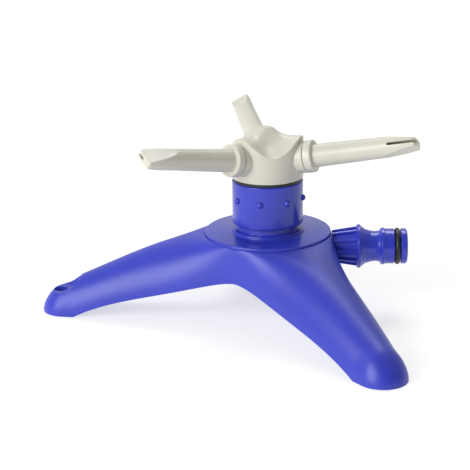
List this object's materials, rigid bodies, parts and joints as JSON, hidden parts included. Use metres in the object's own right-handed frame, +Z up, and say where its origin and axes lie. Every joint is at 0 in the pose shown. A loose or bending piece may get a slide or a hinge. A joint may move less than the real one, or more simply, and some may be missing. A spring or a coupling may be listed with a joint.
{
  "type": "lawn sprinkler",
  "caption": "Rotating lawn sprinkler with slotted nozzle arms tilted up from a spinning hub, a nubbed collar nut and a tripod base with a hose connector.",
  "frame": {"origin": "on the ground, under the middle of the object's box; the spindle axis stands 19.02 mm from it towards +X and 6.13 mm towards -Y", "axes": "+Z up, +X out of the hose connector, +Y to the left when facing +X; the leg with the peg hole points to -X"},
  "size_m": [0.1684, 0.1936, 0.0857],
  "materials": {
    "blue_plastic": "semi-gloss moulded",
    "grey_plastic": "semi-gloss moulded",
    "black_rubber": "moulded seal",
    "white_acetal": "satin",
    "screw_steel": "zinc plated"
  },
  "bodies": {
    "base": {"tripod_base": "blue_plastic", "waterway_body": "blue_plastic", "base_screw_1": "screw_steel", "base_screw_2": "screw_steel", "base_screw_3": "screw_steel", "hose_connector": "blue_plastic", "connector_o_ring": "black_rubber", "inlet_washer": "black_rubber", "collar_nut": "blue_plastic", "thrust_washer": "white_acetal", "slip_washer": "black_rubber"},
    "rotor": {"rotor_hub": "grey_plastic", "spindle": "white_acetal", "spindle_seal": "black_rubber"},
    "arm_1": {"nozzle_arm_1": "grey_plastic", "arm_o_ring_1": "black_rubber"},
    "arm_2": {"nozzle_arm_2": "grey_plastic", "arm_o_ring_2": "black_rubber"},
    "arm_3": {"nozzle_arm_3": "grey_plastic", "arm_o_ring_3": "black_rubber"}
  },
  "joints": [
    {"name": "rotor_spin", "type": "hinge", "parent": "base", "child": "rotor", "pos_m": [0.01902, -0.00613, 0.0692], "axis": [0, 0, 1], "continuous": true},
    {"name": "arm_1_twist", "type": "hinge", "parent": "rotor", "child": "arm_1", "pos_m": [0.01902, -0.00613, 0.0692], "axis": [-0.1974, 0.9616, 0.1908], "range_deg": [-60, 60]},
    {"name": "arm_2_twist", "type": "hinge", "parent": "rotor", "child": "arm_2", "pos_m": [0.01902, -0.00613, 0.0692], "axis": [-0.7341, -0.6517, 0.1908], "range_deg": [-60, 60]},
    {"name": "arm_3_twist", "type": "hinge", "parent": "rotor", "child": "arm_3", "pos_m": [0.01902, -0.00613, 0.0692], "axis": [0.9314, -0.3099, 0.1908], "range_deg": [-60, 60]}
  ]
}
